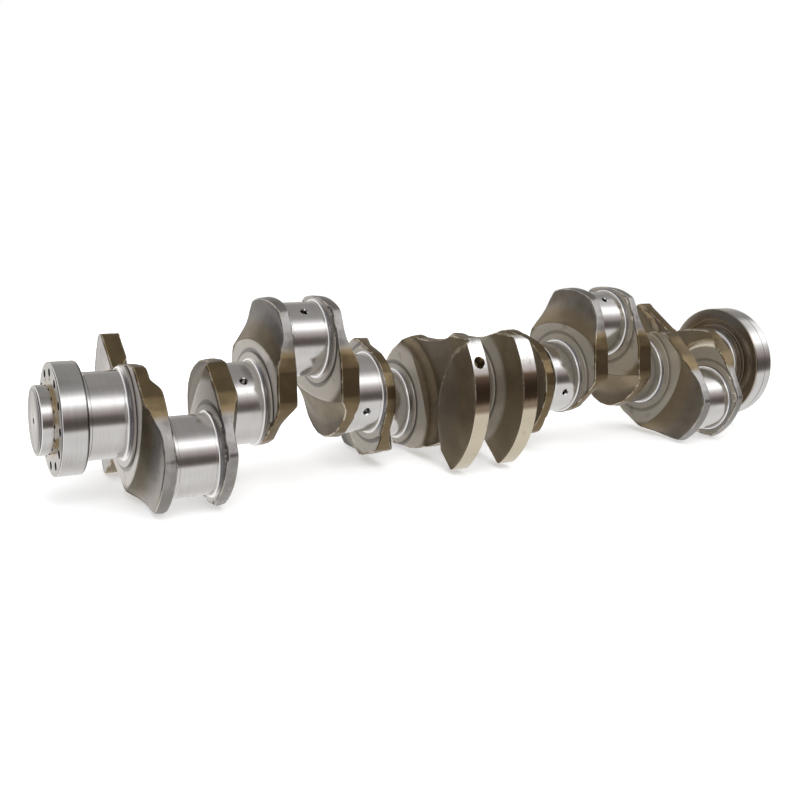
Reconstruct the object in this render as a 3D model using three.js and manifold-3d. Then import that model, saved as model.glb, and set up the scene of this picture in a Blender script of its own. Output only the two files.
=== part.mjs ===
// Crankshaft of a straight-six heavy diesel engine, in millimetres.
// The crank axis is X, from the front spigot (-X) to the rear flange (+X). The origin is the centre of the
// rear flange's outer face. Phases are angles about X, measured from +Z towards -Y; crankpins 2 and 5
// point up.
import * as THREE from "three";
import { mergeVertices } from "three/addons/utils/BufferGeometryUtils.js";
import Module from "manifold-3d";

const wasm = await Module();
wasm.setup();

// Driving dimensions
const CYLINDER_PITCH = 160;
const THROW_RADIUS = 75;
const MAIN_RADIUS = 50;
const PIN_RADIUS = 46;
const FILLET_WIDTH = 2.5;
const MAIN_COLLAR_RADIUS = 62;
const PIN_COLLAR_RADIUS = 56.5;
const COLLAR_HEIGHT = 2;
const MAIN_HALF_LENGTH = 24; // journal centre to collar face
const PIN_HALF_LENGTH = 26.5;

// A web lies between two planes, both counted along the axis from the centre of its main journal.
const MAIN_CHEEK = MAIN_HALF_LENGTH + COLLAR_HEIGHT;
const PIN_FACE = CYLINDER_PITCH / 2 - PIN_HALF_LENGTH;
const PIN_CHEEK = PIN_FACE - COLLAR_HEIGHT;
// The tip of a web is an arc over the pin; its offset is from the crank axis towards the pin.
const WEB_TIP = { offset: 23.3, radius: 105, halfAngle: 22 };
// One side of a web, from the tip round the main end, as [towards the pin, sideways] points
const WEB_SIDE = [
  [118.5, 42.3], [106, 50.5], [95.5, 56], [86, 60], [77, 63], [68, 67.5], [51, 73], [32, 75],
  [17, 77.5], [7, 77.5], [-3, 72], [-25.6, 53.5], [-39, 41], [-48.7, 24], [-53.5, 9],
];
// Each end of a web is thinned on the side away from its journal. On the web's middle line the slope runs
// from start to end, counted from that journal's axis. It starts and ends sooner towards the flanks: the
// falls are what it gains SLOPE_REACH to the side.
const SLOPES = {
  main: { start: 76, startFall: 20, end: 111, endFall: 34 },
  pin: { start: 74.5, startFall: 9, end: 108, endFall: 27 },
};
const SLOPE_DEPTH = 12.5;
const SLOPE_REACH = 70;

const OIL_HOLE_RADIUS = 4;
const MAIN_HOLE_LAG = 44; // degrees past the pin's phase
const PIN_HOLE_LAG = 32;
// Distances from the journal's axis at which the slanting oilway starts, and ends in the crankpin
const OILWAY_START = 25;
const OILWAY_END = 32;

const FRONT_FLANGE_RADIUS = 63.7;
const FRONT_FLANGE_THICKNESS = 29;
const FLANGE_CHAMFER = 2;
const SPIGOT_RADIUS = 39;
const SPIGOT_LENGTH = 17.3;
const SPIGOT_CHAMFER = 3;
const CENTRE_DRILL = { radius: 4, depth: 6.8 };
const FRONT_BOLTS = { count: 12, circle: 53, radius: 4.5, depth: 20 };
const DOWEL_HOLES = { phases: [-30, 0, 120], circle: 45.5, radius: 1.6, depth: 8 };

const REAR_FLANGE_RADIUS = 86.3;
const REAR_FLANGE_THICKNESS = 38.5;
const REAR_RELIEF = { inner: 60, outer: 72, depth: 4, slope: 2 };
const REAR_FACE_STEP = 2.8; // from the shoulder of the journal to the brown face
const REAR_FACE_CONE = 1.9;
const REAR_EDGE = 1;
const REAR_BOLTS = { count: 12, circle: 62, radius: 6.5, depth: 24 };

const CUT_OVERRUN = 5; // how far a cutting body reaches past the surface it cuts
const SLOPE_CUT = { outer: 160, side: 90, step: 15 }; // size of the body that cuts a slope

const JOURNAL_SEGMENTS = 30;
const FLANGE_SEGMENTS = 36;
const HOLE_SEGMENTS = 8;
const ARC_STEP = 10; // degrees between the points of an outline's arcs

const PIN_PHASES = [120, 0, 240, 240, 0, 120];
// Each counterweight is a fan beside the main end of its web. Its rim starts at an angle from the pin's
// direction, beyond a shoulder on the side that hand gives, and ends at flankOuter past the opposite
// direction. Shoulder and flank are lines of [towards the pin, sideways] points.
const FAN_START = 99;
const FAN_SHOULDER = [[40, 71.5], [14, 79], [-4, 81]];
const FAN_CORNER = { radius: 6, turn: 75, steps: 3 };
const FAN_RIM_STEPS = 10;
const MIDDLE_FLANK = [[-86, -44], [-58, -48], [-31, -57], [-8, -68]];
const COUNTERWEIGHTS = {
  1: { radius: 130, hand: 1, flankOuter: 18, flank: [[-45, -14]] },
  6: { radius: 124, hand: -1, flankOuter: 30, flank: MIDDLE_FLANK },
  7: { radius: 124, hand: -1, flankOuter: 30, flank: MIDDLE_FLANK },
  12: { radius: 130, hand: 1, flankOuter: 26, flank: [[-45, -26]] },
};
const FAN_CHEEK = PIN_CHEEK - 2.5;
const BALANCE_HOLE = { web: 6, phase: 63, radius: 7.5, depth: 22 };
// Webs that carry the drilling from a main journal to its pin, by that main journal
const OILWAYS = { 1: 1, 2: 3, 3: 5, 5: 8, 6: 10, 7: 12 };

const STEEL = { journal: 0xb9babb, web: 0x6f675c, flange: 0xb3b3b2 };

const rad = (degrees) => THREE.MathUtils.degToRad(degrees);

function solidOf(geometry) {
  const bare = geometry.index ? geometry.toNonIndexed() : geometry.clone();
  bare.deleteAttribute("normal");
  bare.deleteAttribute("uv");
  const merged = mergeVertices(bare, 1e-3);
  const vertProperties = merged.attributes.position.array;
  const triVerts = new Uint32Array(merged.index.array);
  return new wasm.Manifold(new wasm.Mesh({ numProp: 3, vertProperties, triVerts }));
}

function geometryOf(solid) {
  const { vertProperties, triVerts } = solid.getMesh();
  const geometry = new THREE.BufferGeometry();
  geometry.setAttribute("position", new THREE.BufferAttribute(new Float32Array(vertProperties), 3));
  geometry.setIndex(new THREE.BufferAttribute(new Uint32Array(triVerts), 1));
  const flat = geometry.toNonIndexed();
  flat.computeVertexNormals();
  return flat;
}

// A body of revolution about X; the profile is a list of [x, radius] that starts and ends on the axis.
function turned(profile, segments = FLANGE_SEGMENTS) {
  const points = profile.map(([x, r]) => new THREE.Vector2(r, x));
  return new THREE.LatheGeometry(points, segments).rotateZ(-Math.PI / 2).rotateX(-Math.PI / 2);
}

// An outline drawn with x as Y and y as Z of the part, given thickness from x0 to x1.
function plate(outline, x0, x1) {
  const shape = new THREE.Shape(outline);
  const geometry = new THREE.ExtrudeGeometry(shape, { depth: x1 - x0, bevelEnabled: false });
  const axes = new THREE.Matrix4().makeBasis(
    new THREE.Vector3(0, 1, 0),
    new THREE.Vector3(0, 0, 1),
    new THREE.Vector3(1, 0, 0),
  );
  return solidOf(geometry.applyMatrix4(axes).translate(x0, 0, 0));
}

// A straight drilling between two points.
function drilling(from, to, radius) {
  const along = new THREE.Vector3().subVectors(to, from);
  const geometry = new THREE.CylinderGeometry(radius, radius, along.length(), HOLE_SEGMENTS);
  const turn = new THREE.Quaternion().setFromUnitVectors(new THREE.Vector3(0, 1, 0), along.normalize());
  geometry.applyQuaternion(turn);
  const middle = new THREE.Vector3().addVectors(from, to).multiplyScalar(0.5);
  return solidOf(geometry.translate(middle.x, middle.y, middle.z));
}

// The point at a radius and phase about an axis that runs through height z0.
function atPhase(x, radius, phase, z0 = 0) {
  return new THREE.Vector3(x, -radius * Math.sin(rad(phase)), z0 + radius * Math.cos(rad(phase)));
}

// Profile of a journal with a fillet at each end.
function journalProfile(radius, halfLength) {
  const half = [
    [halfLength - FILLET_WIDTH, radius],
    [halfLength, radius + FILLET_WIDTH],
    [halfLength, 0],
  ];
  return [...half.map(([x, r]) => [-x, r]).reverse(), ...half];
}

// The outline of a web, the pin straight above: a flat arc over the pin and two equal sides.
function webOutline() {
  const steps = Math.ceil((2 * WEB_TIP.halfAngle) / ARC_STEP);
  const tip = Array.from({ length: steps + 1 }, (_, i) => {
    const angle = rad(WEB_TIP.halfAngle * ((2 * i) / steps - 1));
    return [WEB_TIP.offset + WEB_TIP.radius * Math.cos(angle), WEB_TIP.radius * Math.sin(angle)];
  });
  const farSide = WEB_SIDE.map(([s, t]) => [s, -t]).reverse();
  return [...tip, ...WEB_SIDE, ...farSide].map(([s, t]) => new THREE.Vector2(-t, s));
}

// The outline of a counterweight, from the shoulder of the web round its rim and back along its flank.
function fanOutline({ radius, hand, flankOuter, flank }) {
  const corner = FAN_CORNER.radius;
  const turn = rad(FAN_CORNER.turn);
  const inset = corner / (radius - corner);
  const start = rad(FAN_START) + inset;
  const end = Math.PI + Math.asin(flankOuter / radius) - inset;
  const polar = (r, angle) => [r * Math.cos(angle), r * Math.sin(angle)];
  const cornerArc = (at, from, to) => {
    const [s, t] = polar(radius - corner, at);
    return Array.from({ length: FAN_CORNER.steps + 1 }, (_, i) => {
      const [ds, dt] = polar(corner, from + ((to - from) * i) / FAN_CORNER.steps);
      return [s + ds, t + dt];
    });
  };
  const rim = Array.from({ length: FAN_RIM_STEPS - 1 }, (_, i) =>
    polar(radius, start + ((end - start) * (i + 1)) / FAN_RIM_STEPS),
  );
  const insideWeb = [[0, -40], [0, 0], [40, 40]];
  const points = [
    ...FAN_SHOULDER,
    ...cornerArc(start, start - turn, start),
    ...rim,
    ...cornerArc(end, end, end + turn),
    ...flank,
    ...insideWeb,
  ];
  return points.map(([s, t]) => new THREE.Vector2(-hand * t, s));
}

// The body that thins one end of a web: from the cheek, down a slope and along a flat floor. Its section
// is swept sideways. The journal's axis is at height z0, and towards is the way that the slope falls.
function slopeCut({ start, startFall, end, endFall }, cheek, floor, z0, towards) {
  const clear = cheek + Math.sign(cheek - floor) * CUT_OVERRUN;
  const vertices = [];
  const sections = (2 * SLOPE_CUT.side) / SLOPE_CUT.step;
  for (let i = 0; i <= sections; i++) {
    const t = i * SLOPE_CUT.step - SLOPE_CUT.side;
    const fall = (t / SLOPE_REACH) ** 2;
    const from = start - startFall * fall;
    const to = end - endFall * fall;
    const section = [[clear, from], [cheek, from], [floor, to], [floor, SLOPE_CUT.outer], [clear, SLOPE_CUT.outer]];
    section.forEach(([x, s]) => vertices.push(x, -t, z0 + towards * s));
  }
  const triangles = [];
  const size = 5;
  const last = sections * size;
  for (let k = 1; k < size - 1; k++) triangles.push([0, k, k + 1], [last, last + k + 1, last + k]);
  for (let i = 0; i < last; i += size) {
    for (let k = 0; k < size; k++) {
      const [a, b] = [i + k, i + ((k + 1) % size)];
      triangles.push([a, a + size, b], [b, a + size, b + size]);
    }
  }
  const mirrored = Math.sign(floor - cheek) * towards > 0;
  const index = triangles.flatMap(([a, b, c]) => (mirrored ? [a, c, b] : [a, b, c]));
  const geometry = new THREE.BufferGeometry();
  geometry.setAttribute("position", new THREE.BufferAttribute(new Float32Array(vertices), 3));
  geometry.setIndex(index);
  return solidOf(geometry);
}

// The machinist's collar round a journal, as far as the outline of the web reaches.
function collar(outline, radius, x0, x1, z0) {
  const disc = turned([[x0, 0], [x0, radius], [x1, radius], [x1, 0]], JOURNAL_SEGMENTS);
  return solidOf(disc.translate(0, 0, z0)).intersect(plate(outline, x0 - 1, x1 + 1));
}

// The straight drilling from the cross drilling of a main journal to the middle of its crankpin: its two
// ends and the centre of the pin, all seen from the centre of the main journal.
function oilway(side, phase) {
  const pin = atPhase((side * CYLINDER_PITCH) / 2, THROW_RADIUS, phase);
  const start = atPhase(0, OILWAY_START, phase + MAIN_HOLE_LAG);
  const end = atPhase(0, OILWAY_END, phase + PIN_HOLE_LAG).add(pin);
  return { pin, start, end };
}

function webSolid(number) {
  const outline = webOutline();
  let web = plate(outline, MAIN_CHEEK, PIN_CHEEK);
  web = web.subtract(slopeCut(SLOPES.main, MAIN_CHEEK, MAIN_CHEEK + SLOPE_DEPTH, 0, 1));
  web = web.subtract(slopeCut(SLOPES.pin, PIN_CHEEK, PIN_CHEEK - SLOPE_DEPTH, THROW_RADIUS, -1));
  web = web.add(collar(outline, MAIN_COLLAR_RADIUS, MAIN_HALF_LENGTH, MAIN_CHEEK, 0));
  web = web.add(collar(outline, PIN_COLLAR_RADIUS, PIN_CHEEK, PIN_FACE, THROW_RADIUS));
  const fan = COUNTERWEIGHTS[number];
  if (fan) web = web.add(plate(fanOutline(fan), MAIN_CHEEK, FAN_CHEEK));
  if (number === BALANCE_HOLE.web) {
    const phase = BALANCE_HOLE.phase - PIN_PHASES[Math.ceil(number / 2) - 1];
    const x = (MAIN_CHEEK + FAN_CHEEK) / 2;
    const mouth = atPhase(x, fan.radius + CUT_OVERRUN, phase);
    const bottom = atPhase(x, fan.radius - BALANCE_HOLE.depth, phase);
    web = web.subtract(drilling(mouth, bottom, BALANCE_HOLE.radius));
  }
  if (!Object.values(OILWAYS).includes(number)) return web;
  const { start, end } = oilway(1, 0);
  return web.subtract(drilling(start, end, OIL_HOLE_RADIUS));
}

const REAR_FACE = 0;
const REAR_BACK = REAR_FACE - REAR_FLANGE_THICKNESS;
const mainX = (number) => REAR_BACK - MAIN_HALF_LENGTH - (7 - number) * CYLINDER_PITCH;
const pinX = (number) => mainX(number) + CYLINDER_PITCH / 2;
const FLANGE_BACK = mainX(1) - MAIN_HALF_LENGTH;
const FLANGE_FACE = FLANGE_BACK - FRONT_FLANGE_THICKNESS;
// Web 1 joins main 1 to pin 1, web 2 joins pin 1 to main 2, and so on.
const webMain = (number) => Math.floor(number / 2) + 1;
const webPin = (number) => Math.ceil(number / 2);
const webSide = (number) => (number % 2 ? 1 : -1);

function mainJournal(number) {
  const profile = journalProfile(MAIN_RADIUS, MAIN_HALF_LENGTH);
  const journal = solidOf(turned(profile, JOURNAL_SEGMENTS));
  const web = OILWAYS[number];
  if (!web) return journal;
  const pinPhase = PIN_PHASES[webPin(web) - 1];
  const { start, end } = oilway(webSide(web), pinPhase);
  const reach = MAIN_RADIUS + CUT_OVERRUN;
  const mouths = [reach, -reach].map((r) => atPhase(0, r, pinPhase + MAIN_HOLE_LAG));
  const crossDrilled = journal.subtract(drilling(...mouths, OIL_HOLE_RADIUS));
  return crossDrilled.subtract(drilling(start, end, OIL_HOLE_RADIUS));
}

function crankpin(number) {
  const profile = journalProfile(PIN_RADIUS, PIN_HALF_LENGTH);
  const pin = solidOf(turned(profile, JOURNAL_SEGMENTS));
  const web = Object.values(OILWAYS).find((w) => webPin(w) === number);
  const way = oilway(webSide(web), 0);
  const start = way.start.sub(way.pin);
  const end = way.end.sub(way.pin);
  const mouth = atPhase(0, PIN_RADIUS + CUT_OVERRUN, PIN_HOLE_LAG);
  const drilled = pin.subtract(drilling(mouth, end, OIL_HOLE_RADIUS));
  return drilled.subtract(drilling(start, end, OIL_HOLE_RADIUS));
}

// Blind holes on a circle, entered from the plane at x and going in the direction of into.
function holeCircle(solid, { phases, count, circle, radius, depth }, x, into) {
  const all = phases ?? Array.from({ length: count }, (_, i) => (i * 360) / count);
  return all.reduce((body, phase) => {
    const mouth = atPhase(x - into, circle, phase);
    const bottom = atPhase(x + into * depth, circle, phase);
    return body.subtract(drilling(mouth, bottom, radius));
  }, solid);
}

function frontFlange() {
  const rim = FRONT_FLANGE_RADIUS - FLANGE_CHAMFER;
  const body = turned([
    [FLANGE_FACE, 0],
    [FLANGE_FACE, rim],
    [FLANGE_FACE + FLANGE_CHAMFER, FRONT_FLANGE_RADIUS],
    [FLANGE_BACK - FLANGE_CHAMFER, FRONT_FLANGE_RADIUS],
    [FLANGE_BACK, rim],
    [FLANGE_BACK, 0],
  ]);
  const drilled = holeCircle(solidOf(body), FRONT_BOLTS, FLANGE_FACE, 1);
  return holeCircle(drilled, DOWEL_HOLES, FLANGE_FACE, 1);
}

function frontSpigot() {
  const nose = FLANGE_FACE - SPIGOT_LENGTH;
  const body = turned([
    [nose + CENTRE_DRILL.depth, 0],
    [nose, CENTRE_DRILL.radius],
    [nose, SPIGOT_RADIUS - SPIGOT_CHAMFER],
    [nose + SPIGOT_CHAMFER, SPIGOT_RADIUS],
    [FLANGE_FACE, SPIGOT_RADIUS],
    [FLANGE_FACE, 0],
  ]);
  return solidOf(body);
}

function rearFlange() {
  const face = REAR_BACK + REAR_FACE_STEP;
  const body = turned([
    [REAR_BACK, 0],
    [REAR_BACK, REAR_RELIEF.inner],
    [face + REAR_RELIEF.depth, REAR_RELIEF.inner],
    [face + REAR_RELIEF.depth, REAR_RELIEF.outer - REAR_RELIEF.slope],
    [face, REAR_RELIEF.outer],
    [face + REAR_FACE_CONE, REAR_FLANGE_RADIUS - REAR_EDGE],
    [face + REAR_FACE_CONE + REAR_EDGE, REAR_FLANGE_RADIUS],
    [REAR_FACE - FLANGE_CHAMFER, REAR_FLANGE_RADIUS],
    [REAR_FACE, REAR_FLANGE_RADIUS - FLANGE_CHAMFER],
    [REAR_FACE, 0],
  ]);
  return holeCircle(solidOf(body), REAR_BOLTS, REAR_FACE, -1);
}

const crankshaft = new THREE.Group();
crankshaft.name = "crankshaft";

function addPiece(name, solid, colour, roughness) {
  const material = new THREE.MeshStandardMaterial({ color: colour, roughness, metalness: 1 });
  const mesh = new THREE.Mesh(geometryOf(solid), material);
  mesh.name = name;
  crankshaft.add(mesh);
  return mesh;
}

for (let number = 1; number <= 7; number++) {
  const mesh = addPiece(`main_journal_${number}`, mainJournal(number), STEEL.journal, 0.2);
  mesh.position.x = mainX(number);
}

for (let number = 1; number <= 6; number++) {
  const phase = PIN_PHASES[number - 1];
  const mesh = addPiece(`crankpin_${number}`, crankpin(number), STEEL.journal, 0.2);
  mesh.position.copy(atPhase(pinX(number), THROW_RADIUS, phase));
  mesh.rotation.x = rad(phase);
}

for (let number = 1; number <= 12; number++) {
  const name = COUNTERWEIGHTS[number] ? `counterweight_web_${number}` : `web_${number}`;
  const mesh = addPiece(name, webSolid(number), STEEL.web, 0.45);
  mesh.position.x = mainX(webMain(number));
  mesh.rotation.x = rad(PIN_PHASES[webPin(number) - 1]);
  mesh.scale.x = webSide(number);
}

addPiece("front_flange", frontFlange(), STEEL.flange, 0.25);
addPiece("front_spigot", frontSpigot(), STEEL.flange, 0.3);
addPiece("rear_flange", rearFlange(), STEEL.flange, 0.3);

export default crankshaft;
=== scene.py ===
"""Looks of a straight-six crankshaft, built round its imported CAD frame.

Each CAD node is one region of the forging. This script rebuilds every region as a fine mesh in the place
that its node holds, gives it a procedural material, and sets the studio, the light and the camera.
Shapes are worked out in millimetres and become metres when a mesh is made.
"""

import math
from types import SimpleNamespace

import bpy
import numpy as np
from mathutils import Matrix, Vector, geometry, kdtree, noise


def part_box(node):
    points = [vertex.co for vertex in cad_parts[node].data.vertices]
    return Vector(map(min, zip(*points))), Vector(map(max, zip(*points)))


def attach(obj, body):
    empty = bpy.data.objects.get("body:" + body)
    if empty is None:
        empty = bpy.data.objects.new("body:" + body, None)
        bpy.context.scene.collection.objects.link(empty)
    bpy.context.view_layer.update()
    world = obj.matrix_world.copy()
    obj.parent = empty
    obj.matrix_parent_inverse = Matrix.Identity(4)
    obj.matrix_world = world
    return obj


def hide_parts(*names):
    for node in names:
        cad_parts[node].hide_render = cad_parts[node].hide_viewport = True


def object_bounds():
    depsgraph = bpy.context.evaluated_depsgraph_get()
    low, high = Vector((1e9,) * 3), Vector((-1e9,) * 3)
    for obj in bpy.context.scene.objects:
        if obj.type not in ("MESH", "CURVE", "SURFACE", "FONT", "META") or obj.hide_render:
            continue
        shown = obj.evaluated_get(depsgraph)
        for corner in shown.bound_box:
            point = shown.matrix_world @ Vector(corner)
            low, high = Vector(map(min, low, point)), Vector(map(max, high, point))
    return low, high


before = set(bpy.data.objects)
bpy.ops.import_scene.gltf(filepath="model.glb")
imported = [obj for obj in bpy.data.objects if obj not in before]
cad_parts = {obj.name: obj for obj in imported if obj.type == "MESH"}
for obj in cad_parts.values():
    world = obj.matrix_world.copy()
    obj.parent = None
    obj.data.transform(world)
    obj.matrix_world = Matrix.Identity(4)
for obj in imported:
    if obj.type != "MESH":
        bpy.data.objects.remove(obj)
CAD_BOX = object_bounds()

MM = 0.001
TAU = 2 * math.pi


def centre(node):
    """The middle of a CAD node's box, in millimetres."""
    low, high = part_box(node)
    return np.array((low + high) / 2) / MM


def ends_of(node):
    """The lowest and the highest place of a CAD node along the crank, in millimetres."""
    return [corner.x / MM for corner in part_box(node)]


# ---- dimensions, in millimetres and degrees

MAIN_X = [centre(f"main_journal_{n}")[0] for n in range(1, 8)]
PIN_CENTRE = [centre(f"crankpin_{n}") for n in range(1, 7)]
THROW = math.hypot(*PIN_CENTRE[0][1:])
PITCH = MAIN_X[1] - MAIN_X[0]
PIN_PHASE = [math.atan2(-y, z) for _, y, z in PIN_CENTRE]

MAIN_JOURNAL = {"radius": 50.0, "half": 24.0, "fillet": 4.2, "hole_lag": 44.0}
CRANKPIN = {"radius": 46.0, "half": 26.5, "fillet": 4.2, "hole_lag": 32.0}
SEAT = 0.3  # how far a journal's end goes into the web
UNDERCUT = {"depth": 0.25, "start": 1.6, "end": 1.2}  # just before the fillet
JOURNAL_STEPS = 192
OIL_HOLE = {"radius": 4.0, "depth": 24.0, "flare": 1.4, "flare_depth": 1.6}
DRILL_POINT = {"height": 0.55, "radius": 0.05}  # the height is counted in radii of the drill
OILWAY_MAINS = (1, 2, 3, 5, 6, 7)

# Webs. Heights are counted along the axis from the centre of the main journal towards the pin.
COLLAR = 2.0
MAIN_FACE = MAIN_JOURNAL["half"]
MAIN_CHEEK = MAIN_FACE + COLLAR
PIN_FACE = PITCH / 2 - CRANKPIN["half"]
PIN_CHEEK = PIN_FACE - COLLAR
MAIN_COLLAR = 62.0
PIN_COLLAR = 56.5
COLLAR_CHAMFER = 0.6
DISC_RADIUS = 80.0
# The tip is an arc over the pin. The side runs from it round the main end, as (towards the pin, sideways).
WEB_TIP = {"offset": 23.3, "radius": 105.0, "half_angle": 22.0}
WEB_SIDE = ((118.5, 42.3), (106.0, 50.5), (95.5, 56.0), (86.0, 60.0), (77.0, 63.0), (68.0, 67.5),
            (51.0, 73.0), (32.0, 75.0), (17.0, 77.5), (7.0, 77.5), (-3.0, 72.0), (-25.6, 53.5),
            (-39.0, 41.0), (-48.7, 24.0), (-53.5, 9.0))
# Each end is thinned on the side away from its journal. On the middle line the slope runs from start to end,
# counted from that journal's axis; the falls are what it gains SLOPE_REACH to the side.
SLOPES = {
    "main": {"start": 76.0, "start_fall": 20.0, "end": 111.0, "end_fall": 34.0},
    "pin": {"start": 74.5, "start_fall": 9.0, "end": 108.0, "end_fall": 27.0},
}
SLOPE_DEPTH = 12.5
SLOPE_REACH = 70.0
FLOOR_CROWN = 1.6  # how much the middle of a thinned end stands above its flanks
FLOOR_FLANK = 55.0

# A counterweight is a fan round the crank axis; its corners are the radii at its start and at its end.
FAN_START = 99.0
FAN_LEAVES_SIDE = 45.0  # the side of the web goes over into the shoulder here
FAN_SHOULDER = ((14.0, 79.0), (-4.0, 81.0))
FAN_CORNER_TURN = math.radians(75.0)
FAN_CHEEK = PIN_CHEEK - 2.5
FAN_DISC = {"centre": (-120.0, 90.0), "radius": 112.0, "edge": 3.0}
FAN_VALLEY = {"height": 42.0, "slope": 12.0}
FAN_FLAT = (20.0, 50.0)  # beside a counterweight the main slope fades in over these distances
MIDDLE_FAN = {"radius": 123.6, "hand": -1, "corners": (9.0, 6.0), "flank_outer": 30.0, "cheek": 90.0,
              "flank": ((-86.0, -44.0), (-58.0, -48.0), (-31.0, -57.0), (-8.0, -68.0))}
FANS = {
    1: {"radius": 129.6, "hand": 1, "corners": (6.0, 13.0), "flank_outer": 18.0, "cheek": 78.0,
        "flank": ((-45.0, -14.0),)},
    6: MIDDLE_FAN,
    7: MIDDLE_FAN,
    12: {"radius": 129.6, "hand": 1, "corners": (6.0, 6.0), "flank_outer": 26.0, "cheek": 78.0,
         "flank": ((-45.0, -26.0),)},
}
RIM_TURNED = 117.0  # a rim farther than this from the crank axis is turned
EDGE_FORGED = 2.6
EDGE_TURNED = 1.1
RELIEF_LEAN = 1.2  # how far a thinned end leans in from the outline
RIM_CROWN = 0.35
DENTS = ((0.35, 30.0, 0), (0.07, 9.0, 3))  # forged skin, as (depth, size, seed shift)
DENT_BIAS = 0.6  # keeps nearly all dents below the nominal surface
BALANCE_WEB = 6
BALANCE_PHASE = math.radians(63.0)
BALANCE_HOLE = {"radius": 7.5, "depth": 16.0, "flare": 0.8}

OUTLINE_SPACING = 1.6
OUTLINE_SOFTNESS = 1.3
FACE_SPACING = 3.4
CLEARANCE = {"circle": 1.2, "border": 1.6, "line": 1.3, "crease": 0.9}  # between points of a face
RIM_STEPS = 7
EDGE_STEPS = 4

FRONT_FLANGE = {"radius": 63.7, "chamfer": 1.6}
ALL_ROUND = tuple(range(0, 360, 30))
FRONT_BOLTS = {"radius": 4.9, "depth": 20.0, "flare": 0.4}
FRONT_BOLT_CIRCLE = 53.0
DOWELS = {"radius": 1.6, "depth": 8.0, "flare": 0.3}
DOWEL_CIRCLE = 45.5
DOWEL_PHASES = (-30, 0, 120)
SPIGOT = {"radius": 39.0, "chamfer": 2.4, "drill": 4.0, "drill_depth": 6.8, "pad": 0.86, "step": 0.88,
          "pad_height": 0.35, "neck_start": 3.2, "neck_end": 2.8, "neck": 0.5}
REAR_FLANGE = {"radius": 86.3, "chamfer": 1.6, "relief_in": 60.0, "relief_out": 72.0, "relief": 4.0}
REAR_STEP = 2.8
REAR_CONE = 1.9
REAR_GROOVE = {"share": 0.60, "depth": 0.4, "wall": 0.3, "floor": 1.0}
REAR_BOLTS = {"radius": 6.5, "depth": 24.0, "flare": 1.0}
REAR_BOLT_CIRCLE = 62.0
FLANGE_STEPS = 256
CREASE_ANGLE = 30.0
WEB_CREASE_ANGLE = 32.0

# Looks. Colours are linear, and tints are laid over the steel by the masks in the materials.
FINE_LINES = {"pitch": 0.0011, "run": 0.05}
BROAD_LINES = {"pitch": 0.003, "run": 0.06}
GROUND = {"dark": (0.625, 0.61, 0.60, 1), "light": (0.665, 0.655, 0.65, 1), "smudge": (0.50, 0.47, 0.44, 1)}
TURNED = {
    "dark": (0.60, 0.59, 0.58, 1),
    "light": (0.64, 0.635, 0.63, 1),
    "face": (0.27, 0.25, 0.225, 1),
    "lip": (0.07, 0.06, 0.05, 1),
    "shadow": (0.05, 0.045, 0.04, 1),
    "oil": (0.30, 0.21, 0.085, 1),
    "rear": (0.34, 0.285, 0.215, 1),
    "smudge": (0.40, 0.365, 0.32, 1),
}
FORGED = {
    "brown": ((0.128, 0.100, 0.060, 1), (0.205, 0.165, 0.102, 1)),
    "rear_brown": (0.34, 0.26, 0.16, 1),
    "cool": ((0.165, 0.158, 0.150, 1), (0.235, 0.226, 0.215, 1)),
    "first_tip": (0.42, 0.385, 0.35, 1),
    "flank": ((0.21, 0.155, 0.085, 1), (0.36, 0.35, 0.345, 1)),
    "flank_mottle": (0.10, 0.08, 0.05, 1),
    "disc": ((0.45, 0.42, 0.39, 1), (0.60, 0.545, 0.44, 1)),
    "disc_line": (0.25, 0.225, 0.19, 1),
    # Painted shade: a dark line on the cheek just outside each collar's step.
    "ring": (0.09, 0.08, 0.07, 1),
    "ear": (0.56, 0.54, 0.51, 1),
    "rim": (0.60, 0.54, 0.42, 1),
    # The next two colours are painted reflections on the turned rims: white where a rim faces up, and a dark
    # band where it faces nearly level.
    "rim_top_reflection": (0.85, 0.85, 0.85, 1),
    "rim_shade": (0.17, 0.11, 0.07, 1),
    "end_rim": (0.25, 0.19, 0.105, 1),
    # Partly edge wear and partly a painted highlight along the rounded edges.
    "wear_and_highlight": (0.62, 0.56, 0.46, 1),
    "stain": (0.12, 0.095, 0.07, 1),
}
REAR_SHARE = (-1000.0, -250.0)  # the webs get browner between these places along the crank
DISC_FADE = 9.0
# Painted shade at the foot of each collar's step: how far out the dark line sits and how it fades.
COLLAR_SHADE = {"out": 2.0, "fade": (4.0, 1.2)}  # the dark line round a collar
COOL_FROM_MAIN = (88.0, 110.0)
COOL_FROM_PIN = (92.0, 112.0)
LIP = 34.2  # radius of the dark line on the spigot's face
OIL_ROOT = (46.0, 39.5)


# ---- small helpers

def smoothstep(low, high, value):
    x = np.clip((value - low) / (high - low), 0, 1)
    return x * x * (3 - 2 * x)


def on_circle(middle, radius, angles):
    """Points on a circle, in a plane whose first axis is angle zero; angles in radians."""
    return np.column_stack([middle[0] + radius * np.cos(angles), middle[1] + radius * np.sin(angles)])


def arc(middle, radius, start, end):
    count = max(2, int(abs(end - start) * radius / OUTLINE_SPACING))
    return on_circle(middle, radius, np.linspace(start, end, count + 1))


def link(name, data):
    """A new object in the scene."""
    made = bpy.data.objects.new(name, data)
    bpy.context.scene.collection.objects.link(made)
    return made


def shade_smooth(mesh, sharp=CREASE_ANGLE):
    mesh.polygons.foreach_set("use_smooth", np.ones(len(mesh.polygons), dtype=bool))
    mesh.set_sharp_from_angle(angle=math.radians(sharp))


def add_piece(node, slot, points, faces, sharp=CREASE_ANGLE):
    """A finished piece from points in millimetres; it stands for one CAD node and rides on the root body."""
    name = f"{node}_finished"
    mesh = bpy.data.meshes.new(name)
    mesh.from_pydata((np.asarray(points) * MM).tolist(), [], faces)
    mesh.materials.append(MATERIALS[slot])
    shade_smooth(mesh, sharp)
    mesh.update()
    piece = link(name, mesh)
    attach(piece, "root")
    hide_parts(node)
    return piece


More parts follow.
